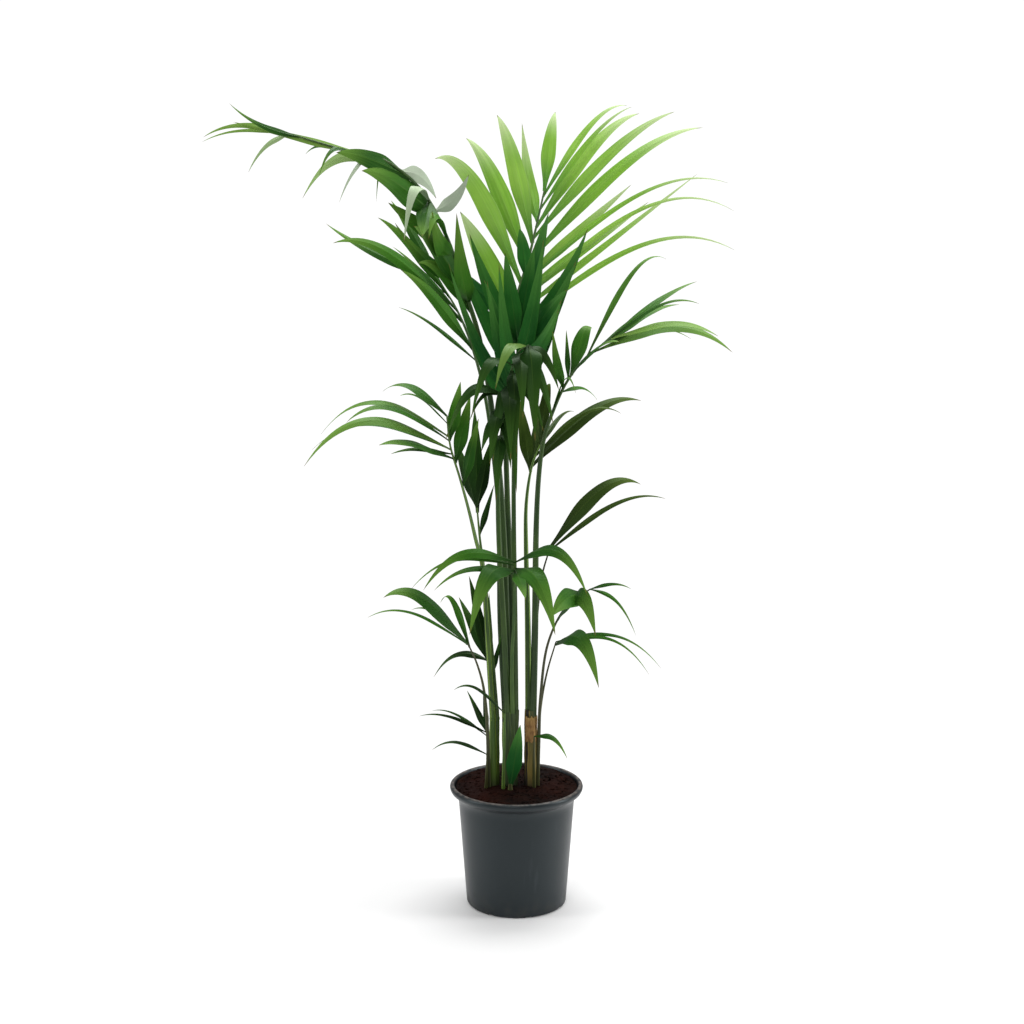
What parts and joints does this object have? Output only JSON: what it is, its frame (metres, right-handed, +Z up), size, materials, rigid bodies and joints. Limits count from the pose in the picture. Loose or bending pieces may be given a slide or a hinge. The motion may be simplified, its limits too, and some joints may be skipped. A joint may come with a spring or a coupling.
{
  "type": "potted kentia palm",
  "caption": "Potted kentia palm: slender clustered stems with arching feather fronds at several heights, standing in potting soil in a round dark nursery pot with a flared rim.",
  "frame": {"origin": "centre of the pot's flat underside, on the surface that the pot stands on", "axes": "+Z up along the pot's axis, -Y the plant's front, +X to the right of a viewer who faces the front"},
  "size_m": [0.9158, 0.5363, 1.4352],
  "materials": {
    "pot_plastic": "satin",
    "soil": "matte",
    "stem_sheath": "satin",
    "dry_sheath": "matte",
    "leaf_green": "satin",
    "leaf_dark": "satin",
    "leaf_fresh": "satin"
  },
  "bodies": {
    "root": {"pot": "pot_plastic", "potting_soil": "soil", "stem_centre": "stem_sheath", "stem_left": "stem_sheath", "stem_right": "stem_sheath", "dry_sheath": "dry_sheath", "frond_arching_left": "leaf_green", "frond_tall_back": "leaf_fresh", "frond_tall_centre": "leaf_green", "frond_upper_left": "leaf_green", "frond_right": "leaf_green", "frond_right_back": "leaf_dark", "frond_left": "leaf_green", "frond_left_back": "leaf_dark", "frond_crown_front": "leaf_dark", "frond_low_front": "leaf_green", "frond_pair_right": "leaf_dark", "frond_low_right": "leaf_green", "frond_small_right": "leaf_green", "frond_low_left": "leaf_green", "frond_small_left": "leaf_dark", "seedling_left": "leaf_dark", "leaf_front_left": "leaf_dark", "leaf_small_left": "leaf_dark", "leaf_small_right": "leaf_green", "spear_front": "leaf_green"}
  },
  "joints": []
}
